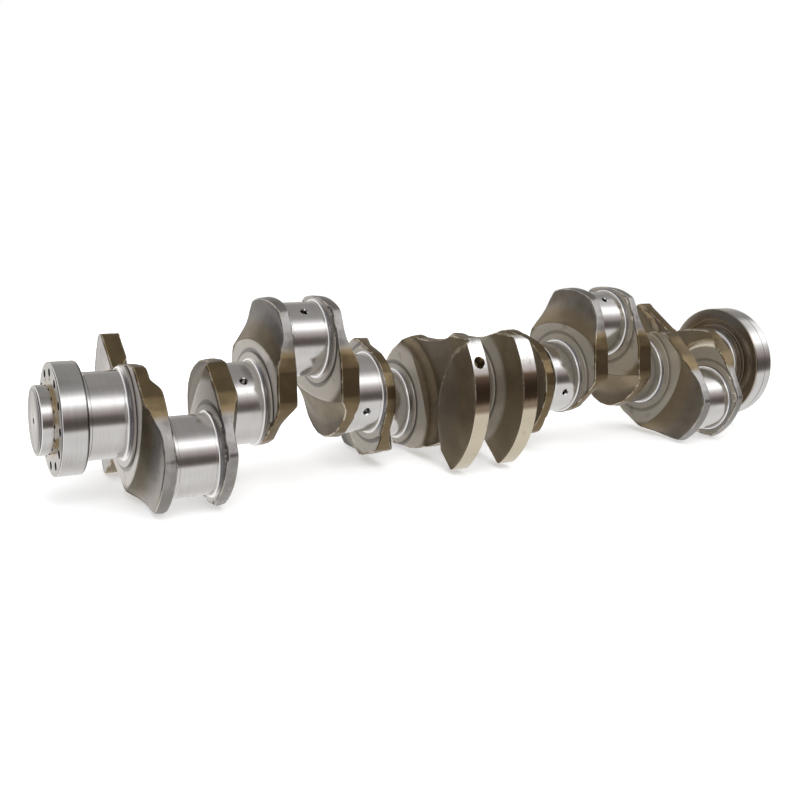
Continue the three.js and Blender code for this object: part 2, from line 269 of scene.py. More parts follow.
def lathe(profile, steps, middle=(0.0, 0.0)):
    """Points and faces of a body turned about X; the profile's ends lie on the axis, at radius 0."""
    profile = np.asarray(profile, float)
    ring = profile[1:-1]
    angles = np.arange(steps) * TAU / steps
    points = [(profile[0][0], middle[0], middle[1])]
    for x, r in ring:
        y, z = middle[0] - r * np.sin(angles), middle[1] + r * np.cos(angles)
        rows = np.column_stack([np.full(steps, x), y, z])
        points.extend(map(tuple, rows))
    points.append((profile[-1][0], middle[0], middle[1]))
    last = len(points) - 1
    faces = []
    for j in range(steps):
        k = (j + 1) % steps
        faces.append((0, 1 + k, 1 + j))
        for i in range(len(ring) - 1):
            a, b = 1 + i * steps, 1 + (i + 1) * steps
            faces.append((a + j, a + k, b + k, b + j))
        end = 1 + (len(ring) - 1) * steps
        faces.append((end + j, end + k, last))
    return points, faces


def cutter(outlines):
    """One object that holds every drill: each is (mouth, direction, [(distance, radius), ...])."""
    points, faces = [], []
    steps = 40
    for mouth, direction, profile in outlines:
        direction = Vector(direction).normalized()
        side = direction.orthogonal().normalized()
        other = direction.cross(side)
        first = len(points)
        for distance, radius in profile:
            base = Vector(mouth) + direction * distance
            for j in range(steps):
                angle = j * TAU / steps
                points.append(base + side * (radius * math.cos(angle)) + other * (radius * math.sin(angle)))
        for i in range(len(profile) - 1):
            for j in range(steps):
                a, b = first + i * steps + j, first + i * steps + (j + 1) % steps
                faces.append((a, b, b + steps, a + steps))
        faces.append(tuple(first + j for j in reversed(range(steps))))
        end = first + (len(profile) - 1) * steps
        faces.append(tuple(end + j for j in range(steps)))
    mesh = bpy.data.meshes.new("cutter")
    mesh.from_pydata([tuple(p * MM) for p in points], [], faces)
    mesh.update()
    return link("cutter", mesh)


def drill(piece, outlines):
    """Cuts the drills out of a piece for good."""
    tool = cutter(outlines)
    cut = piece.modifiers.new("drill", "BOOLEAN")
    cut.operation = "DIFFERENCE"
    cut.solver = "EXACT"
    cut.object = tool
    bpy.context.view_layer.update()
    depsgraph = bpy.context.evaluated_depsgraph_get()
    result = bpy.data.meshes.new_from_object(piece.evaluated_get(depsgraph), depsgraph=depsgraph)
    piece.modifiers.remove(cut)
    result.name = piece.data.name
    piece.data = result
    bpy.data.objects.remove(tool)
    shade_smooth(result)


def hole(mouth, inward, radius, depth, flare, flare_depth=None, over=2.0):
    """A drilled hole with a conical bottom and a chamfered mouth, as deep as it is wide unless said."""
    flare_depth = flare_depth or flare
    return (mouth, inward, [
        (-over, radius + flare + over * flare / flare_depth),
        (flare_depth, radius),
        (depth, radius),
        (depth + radius * DRILL_POINT["height"], DRILL_POINT["radius"]),
    ])


def radial_normals(piece, radius, middle):
    """Gives the corners of a round surface their true normals, so that cuts leave no ripple in its shine."""
    mesh = piece.data
    normals = [tuple(c.vector) for c in mesh.corner_normals]
    co = np.array([v.co for v in mesh.vertices]) / MM
    offset = co[:, 1:] - np.array(middle)
    on_round = np.abs(np.hypot(offset[:, 0], offset[:, 1]) - radius) < 1e-3
    for face in mesh.polygons:
        if not all(on_round[v] for v in face.vertices):
            continue
        for corner in face.loop_indices:
            y, z = offset[mesh.loops[corner].vertex_index]
            normals[corner] = (0.0, y / radius, z / radius)
    mesh.normals_split_custom_set(normals)


# ---- node graphs

class Graph:
    """A node tree that is written as expressions; a value may be a number, a tuple or a socket."""

    def __init__(self, tree):
        self.tree = tree
        tree.nodes.clear()

    def add(self, kind, inputs=None, **settings):
        node = self.tree.nodes.new("ShaderNode" + kind)
        for key, value in settings.items():
            setattr(node, key, value)
        for key, value in (inputs or {}).items():
            self.set(node.inputs[key], value)
        return node

    def out(self, kind, inputs=None, **settings):
        return self.add(kind, inputs, **settings).outputs[0]

    def set(self, socket, value):
        if isinstance(value, bpy.types.NodeSocket):
            self.tree.links.new(value, socket)
        else:
            socket.default_value = value

    def math(self, operation, a, b=0.0):
        return self.out("Math", {0: a, 1: b}, operation=operation)

    def times(self, first, *others):
        for other in others:
            first = self.math("MULTIPLY", first, other)
        return first

    def plus(self, first, *others):
        for other in others:
            first = self.math("ADD", first, other)
        return first

    def minus(self, a, b):
        return self.math("SUBTRACT", a, b)

    def most(self, a, b):
        return self.math("MAXIMUM", a, b)

    def apart(self, a, b):
        return self.math("ABSOLUTE", self.minus(a, b))

    def length(self, a, b):
        return self.math("SQRT", self.plus(self.times(a, a), self.times(b, b)))

    def range(self, value, low, high, kind="SMOOTHSTEP"):
        """0 at low and 1 at high, whichever of the two is the larger."""
        inputs = {"Value": value, "From Min": low, "From Max": high}
        return self.out("MapRange", inputs, interpolation_type=kind)

    def mix(self, factor, a, b, data_type="RGBA"):
        node = self.add("Mix", data_type=data_type)
        self.set(node.inputs["Factor"], factor)
        self.set(node.inputs["A"], a)
        self.set(node.inputs["B"], b)
        return node.outputs["Result"]

    def tint(self, base, mask, strength, colour):
        """A colour laid over a base where a mask says so."""
        return self.mix(self.times(mask, strength), base, colour)

    def lerp(self, factor, a, b):
        return self.mix(factor, a, b, "FLOAT")

    def noise(self, vector, scale, detail=3.0, roughness=0.5):
        inputs = {"Vector": vector, "Scale": scale, "Detail": detail, "Roughness": roughness}
        return self.add("TexNoise", inputs).outputs["Fac"]

    def lines_across(self, value):
        """Noise that changes with one value only."""
        vector = self.out("CombineXYZ", {0: value})
        return self.noise(vector, 1.0, 2.0)

    def split(self, vector):
        return self.add("SeparateXYZ", {0: vector}).outputs

    def attribute(self, name):
        return self.add("Attribute", attribute_name=name).outputs["Vector"]

    def object_place(self):
        return self.add("TexCoord").outputs["Object"]

    def normal(self):
        return self.add("NewGeometry").outputs["Normal"]

    def bump(self, height, distance):
        return self.out("Bump", {"Height": height, "Distance": distance})


def grey(value):
    return (value, value, value, 1.0)


def new_material(name):
    material = bpy.data.materials.new(name)
    material.use_nodes = True
    return material, Graph(material.node_tree)


def metal_surface(graph, base, metallic, roughness, normal, anisotropic=0.0):
    inputs = {"Base Color": base, "Metallic": metallic, "Roughness": roughness, "Normal": normal}
    if anisotropic:
        tangent = graph.out("Tangent", direction_type="RADIAL", axis="X")
        inputs.update({"Anisotropic": anisotropic, "Anisotropic Rotation": 0.0, "Tangent": tangent})
    surface = graph.out("BsdfPrincipled", inputs)
    graph.add("OutputMaterial", {"Surface": surface})


def machined_lines(graph, place, pitch, run):
    """Fine lines round the X axis: noise that is narrow along X and long round it."""
    scale = (1 / pitch, 1 / run, 1 / run)
    stretched = graph.out("Mapping", {"Vector": place, "Scale": scale})
    return graph.noise(stretched, 1.0, 2.0)


def smudges(graph, place, scale):
    return graph.range(graph.noise(place, scale, 4.0), 0.42, 0.7)


def make_ground_steel():
    material, graph = new_material("ground_steel")
    place = graph.object_place()
    fine = machined_lines(graph, place, **FINE_LINES)
    broad = machined_lines(graph, place, **BROAD_LINES)
    smudge = smudges(graph, place, 28.0)
    base = graph.mix(graph.range(fine, 0.3, 0.7), GROUND["dark"], GROUND["light"])
    base = graph.tint(base, smudge, 0.22, GROUND["smudge"])
    roughness = graph.plus(0.14, graph.times(fine, 0.03), graph.times(smudge, 0.06))
    height = graph.plus(fine, graph.times(broad, 0.8))
    metal_surface(graph, base, 1.0, roughness, graph.bump(height, 0.0000022), anisotropic=0.55)
    return material


def web_masks(graph, along):
    """Where a point of a web lies, mostly as masks from 0 to 1; along is its place on the crank.

    web_place holds (height, towards the pin, sideways), and web_zone holds (side, edge with wear and painted
    highlight, turned rim).
    """
    web = SimpleNamespace()
    _, web.towards, sideways = graph.split(graph.attribute("web_place"))
    side, web.edge, web.turned = graph.split(graph.attribute("web_zone"))
    from_main = graph.length(web.towards, sideways)
    from_pin = graph.length(graph.minus(web.towards, THROW), sideways)
    on_main = graph.range(side, -0.5, -0.6)
    on_pin = graph.range(side, 0.5, 0.6)
    web.rim = graph.range(graph.math("ABSOLUTE", side), 0.6, 0.5)
    web.radius = graph.lerp(on_pin, from_main, from_pin)

    aside = graph.math("DIVIDE", graph.times(sideways, sideways), SLOPE_REACH ** 2)

    def before_slope(distance, radius, slope):
        line = graph.minus(slope["start"], graph.times(aside, slope["start_fall"]))
        flat = graph.range(graph.minus(distance, line), 0.5, -0.3)
        return graph.times(flat, graph.range(radius, DISC_RADIUS + DISC_FADE, DISC_RADIUS))

    disc_main = graph.times(on_main, before_slope(web.towards, from_main, SLOPES["main"]))
    disc_pin = graph.times(on_pin, before_slope(graph.minus(THROW, web.towards), from_pin, SLOPES["pin"]))
    web.disc = graph.plus(disc_main, disc_pin)

    # Painted shade: a dark line just outside each collar's step, where shade falls.
    def collar_shade_line(on_side, distance, collar):
        return graph.times(on_side, graph.range(graph.apart(distance, collar + COLLAR_SHADE["out"]), *COLLAR_SHADE["fade"]))

    shade_main = collar_shade_line(on_main, from_main, MAIN_COLLAR)
    web.ring = graph.plus(shade_main, collar_shade_line(on_pin, from_pin, PIN_COLLAR))
    on_fan = graph.times(graph.range(web.towards, 8.0, 0.0), graph.range(from_main, 82.0, 88.0))
    far_end = graph.most(graph.range(from_main, *COOL_FROM_MAIN),
                         graph.times(graph.range(from_pin, *COOL_FROM_PIN), 0.4))
    web.far_end = graph.times(far_end, graph.minus(1.0, web.turned), graph.minus(1.0, on_fan))

    first_pin, last_pin = PIN_CENTRE[0][0], PIN_CENTRE[-1][0]
    first = graph.range(along, first_pin + 10.0, first_pin - 10.0)
    web.end = graph.most(first, graph.range(along, last_pin - 10.0, last_pin + 10.0))
    web.rear_share = graph.range(along, *REAR_SHARE, "LINEAR")
    web.first_face = graph.times(on_main, first)
    web.ear = graph.times(web.first_face, graph.range(web.towards, 6.0, 2.0),
                          graph.range(from_main, DISC_RADIUS + 4.0, DISC_RADIUS + 6.0))
    return web


def forged_colour(graph, place, web, patch, turning):
    mottle = graph.noise(place, 22.0, 5.0, 0.62)
    brown = graph.mix(graph.range(mottle, 0.35, 0.65), *FORGED["brown"])
    brown = graph.tint(brown, web.rear_share, 0.5, FORGED["rear_brown"])
    cool = graph.mix(graph.range(patch, 0.3, 0.7), *FORGED["cool"])
    cool = graph.mix(web.first_face, cool, FORGED["first_tip"])
    base = graph.tint(brown, web.far_end, graph.lerp(web.rear_share, 0.95, 0.5), cool)

    flank = graph.mix(graph.range(web.towards, 70.0, 82.0), *FORGED["flank"])
    mottled = graph.mix(0.35, flank, FORGED["flank_mottle"])
    flank = graph.mix(graph.range(mottle, 0.40, 0.62), mottled, flank)
    base = graph.mix(web.rim, base, flank)

    disc = graph.mix(web.rear_share, *FORGED["disc"])
    disc = graph.tint(disc, graph.range(turning, 0.3, 0.7), 0.25, FORGED["disc_line"])
    base = graph.mix(web.disc, base, disc)
    # Painted shade round the collars.
    base = graph.tint(base, web.ring, graph.lerp(web.rear_share, 0.85, 0.45), FORGED["ring"])
    base = graph.mix(web.ear, base, FORGED["ear"])

    # Painted reflections on the turned rims: a white tint where a rim faces up, and a dark band where it
    # faces nearly level.
    upward = graph.split(graph.normal())[2]
    rim = graph.tint(FORGED["rim"], graph.range(upward, 0.32, 0.36), 0.8, FORGED["rim_top_reflection"])
    shade = graph.times(graph.range(upward, 0.35, 0.30), graph.range(upward, -0.08, -0.02))
    rim = graph.tint(rim, shade, 0.85, FORGED["rim_shade"])
    rim = graph.mix(web.end, rim, FORGED["end_rim"])
    base = graph.mix(web.turned, base, rim)

    # The rounded edges get a cream colour that is partly edge wear and partly a painted highlight.
    wear_and_highlight = graph.times(graph.range(web.edge, 0.45, 0.9), graph.range(patch, 0.44, 0.60))
    base = graph.tint(base, wear_and_highlight, 0.75, FORGED["wear_and_highlight"])
    stain = graph.range(graph.noise(place, 48.0, 5.0, 0.65), 0.58, 0.72)
    return graph.tint(base, stain, 0.35, FORGED["stain"])


def make_forged_steel():
    """One material for a whole web: forged skin, turned discs and rims with painted reflection bands,
    collars ringed by painted shade, and edges with wear and a painted highlight.
    """
    material, graph = new_material("forged_steel")
    place = graph.object_place()
    web = web_masks(graph, graph.times(graph.split(place)[0], 1 / MM))
    patch = graph.noise(place, 75.0, 4.0, 0.6)
    turning = graph.lines_across(graph.times(web.radius, 2.2))
    base = forged_colour(graph, place, web, patch, turning)

    roughness = graph.lerp(web.disc, graph.plus(0.34, graph.times(patch, 0.16)), 0.30)
    roughness = graph.lerp(web.rim, roughness, graph.plus(0.28, graph.times(patch, 0.12)))
    roughness = graph.lerp(web.turned, roughness, graph.lerp(web.end, 0.12, 0.28))
    skin, disc = graph.lerp(web.rear_share, 0.93, 0.74), graph.lerp(web.rear_share, 1.0, 0.62)
    metallic = graph.lerp(web.rim, graph.lerp(web.disc, skin, disc), 1.0)

    scale = graph.noise(place, 420.0, 3.0, 0.6)
    rough = graph.minus(1.0, graph.most(web.disc, web.turned))
    pits = graph.times(rough, graph.plus(scale, patch))
    relief = graph.plus(pits, graph.times(web.disc, turning, 0.3))
    metal_surface(graph, base, metallic, roughness, graph.bump(relief, 0.00012))
    return material


def make_turned_steel():
    """Flanges and spigot. The root of the spigot and the front of the rear flange hold brown oil."""
    material, graph = new_material("turned_steel")
    place = graph.object_place()
    x, y, z = (graph.times(value, 1 / MM) for value in graph.split(place))
    radius = graph.length(y, z)
    facing = graph.range(graph.math("ABSOLUTE", graph.split(graph.normal())[0]), 0.55, 0.85)
    rings = graph.lines_across(graph.times(radius, 1.8))
    lines = graph.lerp(facing, machined_lines(graph, place, **FINE_LINES), rings)
    base = graph.mix(graph.range(lines, 0.3, 0.7), TURNED["dark"], TURNED["light"])
    base = graph.tint(base, facing, 0.9, TURNED["face"])

    front, back = ends_of("front_flange")
    on_spigot = graph.range(x, front, front - 5.0)
    lip = graph.times(graph.range(graph.apart(radius, LIP), 1.4, 0.4), facing, on_spigot)
    base = graph.tint(base, lip, 0.8, TURNED["lip"])
    shadow = graph.times(graph.range(graph.apart(x, back), 3.0, 1.4), graph.range(radius, 51.5, 53.5))
    base = graph.tint(base, shadow, 0.9, TURNED["shadow"])
    oil = graph.times(graph.range(graph.apart(x, front), 7.5, 0.5), graph.range(radius, *OIL_ROOT),
                      graph.range(graph.noise(place, 60.0, 3.0), 0.30, 0.55))
    base = graph.tint(base, oil, 0.85, TURNED["oil"])
    rear = ends_of("rear_flange")[0]
    rear_front = graph.times(graph.range(x, rear + 8.5, rear + 6.5), graph.range(x, rear - 4.0, rear - 2.0))
    base = graph.tint(base, rear_front, 0.9, TURNED["rear"])
    base = graph.tint(base, smudges(graph, place, 26.0), 0.22, TURNED["smudge"])

    roughness = graph.plus(0.13, graph.times(lines, 0.03), graph.times(facing, 0.10))
    metal_surface(graph, base, 1.0, roughness, graph.bump(lines, 0.0000025), anisotropic=0.5)
    return material


MATERIALS = {
    "ground_steel": make_ground_steel(),
    "forged_steel": make_forged_steel(),
    "turned_steel": make_turned_steel(),
}


# ---- journals

def journal_profile(radius, half, fillet):
    """Half section of a journal: a ground cylinder, an undercut and a fillet at each end."""
    neck = radius - UNDERCUT["depth"]
    start = half - fillet
    quarter = np.linspace(-math.pi / 2, 0, 12)
    curve = [(start + fillet * math.cos(a), neck + fillet + fillet * math.sin(a)) for a in quarter]
    right = [(0.0, radius), (start - UNDERCUT["start"], radius), (start - UNDERCUT["end"], neck)] + curve
    right += [(half + SEAT, neck + fillet), (half + SEAT, 0.0)]
    left = [(-x, r) for x, r in reversed(right[1:])]
    return left + right


def at_phase(x, radius, phase, middle=(0.0, 0.0)):
    return (x, middle[0] - radius * math.sin(phase), middle[1] + radius * math.cos(phase))


def radial_hole(x, radius, phase, middle, sizes):
    mouth = at_phase(x, radius, phase, middle)
    inward = (0.0, math.sin(phase), -math.cos(phase))
    return hole(mouth, inward, **sizes)


def add_journal(node, size, x, middle, hole_phases):
    profile = [(px + x, r) for px, r in journal_profile(size["radius"], size["half"], size["fillet"])]
    points, faces = lathe(profile, JOURNAL_STEPS, middle)
    piece = add_piece(node, "ground_steel", points, faces)
    if hole_phases:
        drill(piece, [radial_hole(x, size["radius"], phase, middle, OIL_HOLE) for phase in hole_phases])
        radial_normals(piece, size["radius"], middle)


def add_journals():
    for number in range(1, 8):
        pin = number if number <= 3 else number - 1
        phase = PIN_PHASE[pin - 1] + math.radians(MAIN_JOURNAL["hole_lag"])
        phases = (phase, phase + math.pi) if number in OILWAY_MAINS else ()
        add_journal(f"main_journal_{number}", MAIN_JOURNAL, MAIN_X[number - 1], (0.0, 0.0), phases)
    for number in range(1, 7):
        x, y, z = PIN_CENTRE[number - 1]
        phase = PIN_PHASE[number - 1] + math.radians(CRANKPIN["hole_lag"])
        add_journal(f"crankpin_{number}", CRANKPIN, x, (y, z), [phase])


# ---- webs

def crossing(segment, border):
    """Where a segment crosses a border line: the point, and the index of the border's point before it."""
    a, b = segment
    for i in range(len(border) - 1):
        c, d = border[i], border[i + 1]
        across = np.column_stack([b - a, c - d])
        if abs(np.linalg.det(across)) < 1e-9:
            continue
        share, along = np.linalg.solve(across, c - a)
        if 0 <= share <= 1 and 0 <= along <= 1:
            return a + share * (b - a), i
    return None


def fan_points(fan, border):
    """The stretch of outline round a counterweight, up to where it meets the border of the web."""
    radius = fan["radius"]
    size_first, size_last = fan["corners"]
    start = math.radians(FAN_START) + size_first / (radius - size_first)
    end = math.pi + math.asin(fan["flank_outer"] / radius) - size_last / (radius - size_last)
    polar = lambda r, a: (r * math.cos(a), r * math.sin(a))
    first = arc(polar(radius - size_first, start), size_first, start - FAN_CORNER_TURN, start)
    rim = arc((0.0, 0.0), radius, start, end)
    last = arc(polar(radius - size_last, end), size_last, end, end + FAN_CORNER_TURN)
    track = np.vstack([last[-1:], np.array(fan["flank"]), [(0.0, -40.0)]])
    stretch = [np.array(FAN_SHOULDER), first, rim[1:-1], last]
    for i in range(len(track) - 1):
        met = crossing(track[i:i + 2], border)
        if met:
            return stretch + [track[1:i + 1], met[0][None]], met[1]
    raise ValueError("the counterweight's flank misses the web")


def web_outline(fan):
    """The closed outline of a web, evenly sampled and softened, the tip first."""
    half = math.radians(WEB_TIP["half_angle"])
    tip = arc((WEB_TIP["offset"], 0.0), WEB_TIP["radius"], -half, half)
    near = np.array(WEB_SIDE)
    far = (near * (1.0, -1.0))[::-1]
    if fan:
        stretch, met = fan_points(fan, far)
        parts = [tip, near[near[:, 0] > FAN_LEAVES_SIDE], *stretch, far[met + 1:]]
    else:
        parts = [tip, near, far]
    outline = soften(resample(np.vstack(parts)))
    if fan and fan["hand"] < 0:
        outline = (outline * (1.0, -1.0))[::-1]
    return outline


def resample(points):
    """A closed line through the same points, with even spacing."""
    closed = np.vstack([points, points[:1]])
    steps = np.hypot(*np.diff(closed, axis=0).T)
    along = np.concatenate([[0.0], np.cumsum(steps)])
    count = int(along[-1] / OUTLINE_SPACING)
    wanted = np.arange(count) * along[-1] / count
    return np.column_stack([np.interp(wanted, along, closed[:, k]) for k in (0, 1)])


def soften(points):
    """Rounds the corners of an evenly sampled closed line."""
    reach = int(3 * OUTLINE_SOFTNESS / OUTLINE_SPACING) + 1
    offsets = np.arange(-reach, reach + 1)
    weights = np.exp(-0.5 * (offsets * OUTLINE_SPACING / OUTLINE_SOFTNESS) ** 2)
    weights /= weights.sum()
    return sum(w * np.roll(points, k, axis=0) for w, k in zip(weights, offsets))


def inward_normals(points):
    tangent = np.roll(points, -1, axis=0) - np.roll(points, 1, axis=0)
    tangent /= np.hypot(*tangent.T)[:, None]
    return np.column_stack([-tangent[:, 1], tangent[:, 0]])


def slope_line(slope, t, which):
    """Distance from the journal's axis at which a slope starts or ends, t to the side."""
    return slope[which] - slope[which + "_fall"] * (t / SLOPE_REACH) ** 2


def thinning(distance, t, slope):
    """How far a thinned end has dropped: a straight slope that eases into a slightly crowned floor."""
    start, end = slope_line(slope, t, "start"), slope_line(slope, t, "end")
    x = (distance - start) / np.maximum(end - start, 1.0)
    eased = np.where(x < 0.8, x, 0.8 + 0.2 * (1 - (1 - np.clip((x - 0.8) / 0.4, 0, 1)) ** 2))
    crown = FLOOR_CROWN * (np.minimum((t / FLOOR_FLANK) ** 2, 1.2) - 0.5)
    return np.clip(eased, 0, 1) * (SLOPE_DEPTH + crown)


def collar_step(radius, collar):
    return COLLAR * np.clip((radius - collar) / COLLAR_CHAMFER + 0.5, 0, 1)


def main_height(s, t, fan):
    drop = thinning(s, t, SLOPES["main"])
    if fan:
        drop = drop * smoothstep(*FAN_FLAT, s)
    return MAIN_FACE + collar_step(np.hypot(s, t), MAIN_COLLAR) + drop


def pin_height(s, t, fan):
    radius = np.hypot(s - THROW, t)
    step = collar_step(radius, PIN_COLLAR)
    if not fan:
        return PIN_FACE - step - thinning(THROW - s, t, SLOPES["pin"])
    fall = smoothstep(fan["cheek"], fan["cheek"] + FAN_VALLEY["slope"], radius)
    body = PIN_FACE - step - (PIN_CHEEK - FAN_VALLEY["height"]) * fall
    far = np.hypot(s - FAN_DISC["centre"][0], t - fan["hand"] * FAN_DISC["centre"][1])
    rise = smoothstep(FAN_DISC["radius"] + FAN_DISC["edge"], FAN_DISC["radius"] - FAN_DISC["edge"], far)
    disc = FAN_VALLEY["height"] + (FAN_CHEEK - FAN_VALLEY["height"]) * rise
    return np.maximum(body, disc)


def slope_creases(fan):
    """The lines along which the slopes of the main side and of the pin side start and end."""
    t = np.arange(-SLOPE_REACH, SLOPE_REACH + 1, FACE_SPACING / 2)
    main = [np.column_stack([slope_line(SLOPES["main"], t, w), t]) for w in ("start", "end")]
    pin = [np.column_stack([THROW - slope_line(SLOPES["pin"], t, w), t]) for w in ("start", "end")]
    return main, ([] if fan else pin)


def unevenness(points, size, seed):
    """Smooth random values for a list of points, about -1 to 1."""
    shift = Vector((seed * 7.3, seed * 3.1, seed * 5.7))
    return np.array([noise.noise(Vector(p) / size + shift) for p in points])


def ring_points(middle, radii):
    rings = []
    for radius in radii:
        count = max(12, int(TAU * radius / FACE_SPACING))
        angles = (np.arange(count) + 0.5 * (len(rings) % 2)) * TAU / count
        rings.append(on_circle(middle, radius, angles))
    return rings


def inside_of(loop, points, margin):
    """Which points lie inside a closed loop and at least margin from it."""
    x, y = points[:, 0][:, None], points[:, 1][:, None]
    ax, ay = loop[:, 0][None], loop[:, 1][None]
    bx, by = np.roll(loop[:, 0], -1)[None], np.roll(loop[:, 1], -1)[None]
    crosses = ((ay > y) != (by > y)) & (x < (bx - ax) * (y - ay) / (by - ay + 1e-12) + ax)
    inside = crosses.sum(1) % 2 == 1
    near = np.hypot(x - ax, y - ay).min(1)
    return inside & (near > margin)


def fill(loop, middle, circles, lines):
    """Triangles inside a loop of (s, t) points: rings about a middle, with exact edges along the creases."""
    largest = np.hypot(*(loop - np.array(middle)).T).max()
    gap = CLEARANCE["circle"]
    plain = [r for r in np.arange(8.0, largest, FACE_SPACING) if all(abs(r - c) > gap for c in circles)]
    creases = [(ring, True) for ring in ring_points(middle, circles)] + [(line, False) for line in lines]
    points, edges = [loop], [(i, (i + 1) % len(loop)) for i in range(len(loop))]
    first = len(loop)
    for ring in ring_points(middle, plain):
        keep = inside_of(loop, ring, CLEARANCE["border"])
        for line in lines:
            away = np.hypot(*(ring[:, None] - line[None]).transpose(2, 0, 1)).min(1)
            keep &= away > CLEARANCE["line"]
        points.append(ring[keep])
        first += int(keep.sum())
    for line, closed in creases:
        keep = inside_of(loop, line, CLEARANCE["crease"])
        index = np.cumsum(keep) - 1 + first
        count = len(line)
        edges += [(int(index[i]), int(index[(i + 1) % count])) for i in range(count if closed else count - 1)
                  if keep[i] and keep[(i + 1) % count]]
        points.append(line[keep])
        first += int(keep.sum())
    points = np.vstack(points)
    out = geometry.delaunay_2d_cdt([Vector(p) for p in points], edges, [], 1, 1e-4, True)
    place = np.array([tuple(v) for v in out[0]])
    new_index = {old: new for new, olds in enumerate(out[3]) for old in olds}
    border = [new_index[i] for i in range(len(loop))]
    triangles = np.array(out[2])
    triangles = triangles[inside_of(loop, place[triangles].mean(1), 0.0)]
    return place, [tuple(map(int, t)) for t in triangles], border


def rim_section(loop, normals, low, high, edge, low_lean, high_lean):
    """Loops of (height, s, t) from the main side to the pin side, rounded by edge; and how much edge wear
    and painted highlight each gets.
    """
    layers, edge_wear_and_highlight = [], []
    turns = np.linspace(0, math.pi / 2, EDGE_STEPS + 1)

    def round_edge(angles, height, inwards, lean):
        for a in angles:
            layers.append((height + inwards * edge * (1 - math.cos(a)), lean + edge * (1 - math.sin(a))))
            edge_wear_and_highlight.append(math.sin(2 * a))

    round_edge(turns, low, 1, low_lean)
    for k in range(1, RIM_STEPS):
        share = k / RIM_STEPS
        height = (low + edge) * (1 - share) + (high - edge) * share
        flat = RIM_CROWN * (2 * share - 1) ** 2
        layers.append((height, low_lean * (1 - share) ** 1.3 + high_lean * share ** 1.3 + flat))
        edge_wear_and_highlight.append(0.0)
    round_edge(turns[::-1], high, -1, high_lean)
    stack = [np.column_stack([height, loop + normals * inset[:, None]]) for height, inset in layers]
    return stack, edge_wear_and_highlight


def build_web(number):
    """Points as (height, s, t), faces, and zones as (side, edge, turned rim) of one web."""
    fan = FANS.get(number)
    outline = web_outline(fan)
    normals = inward_normals(outline)
    turned = smoothstep(RIM_TURNED, RIM_TURNED + 4.0, np.hypot(*outline.T)) * (outline[:, 0] < 0)
    edge = EDGE_FORGED + (EDGE_TURNED - EDGE_FORGED) * turned

    def settle(height_at, base):
        """Edge and lean of one side, and the height of its face at the inner border."""
        inner = outline + normals * edge[:, None]
        drop = np.abs(height_at(inner[:, 0], inner[:, 1], fan) - base) / SLOPE_DEPTH
        lean = RELIEF_LEAN * np.clip(drop, 0, 1) * (1 - turned)
        inner = outline + normals * (edge + lean)[:, None]
        return lean, inner, height_at(inner[:, 0], inner[:, 1], fan)

    low_lean, low_loop, low = settle(main_height, MAIN_CHEEK)
    high_lean, high_loop, high = settle(pin_height, PIN_CHEEK)
    stack, edge_wear_and_highlight = rim_section(outline, normals, low, high, edge, low_lean, high_lean)

    half = COLLAR_CHAMFER / 2
    circles_main = (MAIN_COLLAR - half, MAIN_COLLAR + half)
    circles_pin = (PIN_COLLAR - half, PIN_COLLAR + half) + ((fan["cheek"],) if fan else ())
    lines_main, lines_pin = slope_creases(fan)
    points, faces, zones = [], [], []

    def add_face(loop, middle, circles, lines, height_at, side):
        place, triangles, border = fill(loop, middle, circles, lines)
        first = len(points)
        heights = height_at(place[:, 0], place[:, 1], fan)
        points.extend(zip(heights, place[:, 0], place[:, 1]))
        zones.extend([(side, 0.0, 0.0)] * len(place))
        if side < 0:
            triangles = [t[::-1] for t in triangles]
        faces.extend(tuple(first + i for i in t) for t in triangles)
        return [first + i for i in border]

    low_border = add_face(low_loop, (0.0, 0.0), circles_main, lines_main, main_height, -1.0)
    high_border = add_face(high_loop, (THROW, 0.0), circles_pin, lines_pin, pin_height, 1.0)

    count = len(outline)
    rows = [low_border]
    last = len(stack) - 1
    for k, layer in enumerate(stack[1:-1], start=1):
        first = len(points)
        points.extend(map(tuple, layer))
        share = k / last
        side = -1.0 if share < 0.05 else (1.0 if share > 0.95 else 0.0)
        zones.extend((side, edge_wear_and_highlight[k], float(turned[i])) for i in range(count))
        rows.append(list(range(first, first + count)))
    rows.append(high_border)
    for low_row, high_row in zip(rows, rows[1:]):
        for i in range(count):
            k = (i + 1) % count
            faces.append((low_row[i], low_row[k], high_row[k], high_row[i]))
    return np.array(points), faces, np.array(zones)


def roughen(points, zones, seed):
    """Forged skin: small random dents that leave the turned discs, collars and rims alone."""
    side, _, turned = zones.T
    radius = np.hypot(points[:, 1] - THROW * (side > 0), points[:, 2])
    beyond_disc = np.where(side, smoothstep(DISC_RADIUS, DISC_RADIUS + 6, radius), 1.0)
    dents = sum(depth * (unevenness(points, size, seed + shift) - DENT_BIAS) for depth, size, shift in DENTS)
    dents *= beyond_disc * (1 - turned)
    outward = points[:, 1:] - (THROW / 2, 0.0)
    outward /= np.maximum(np.hypot(*outward.T), 1e-6)[:, None]
    moved = points.copy()
    moved[:, 0] += side * dents
    moved[:, 1:] += outward * (dents * (side == 0))[:, None]
    return moved


def store_zones(mesh, places, zones):
    for name, values in (("web_place", places), ("web_zone", zones)):
        layer = mesh.attributes.new(name, "FLOAT_VECTOR", "POINT")
        layer.data.foreach_set("vector", np.asarray(values, np.float32).ravel())


def carry_zones(old_points, new_mesh, places, zones):
    """After a cut, each vertex takes the zone of the nearest vertex that was there before."""
    tree = kdtree.KDTree(len(old_points))
    for i, point in enumerate(old_points):
        tree.insert(point, i)
    tree.balance()
    nearest = [tree.find(v.co)[1] for v in new_mesh.vertices]
    store_zones(new_mesh, places[nearest], zones[nearest])


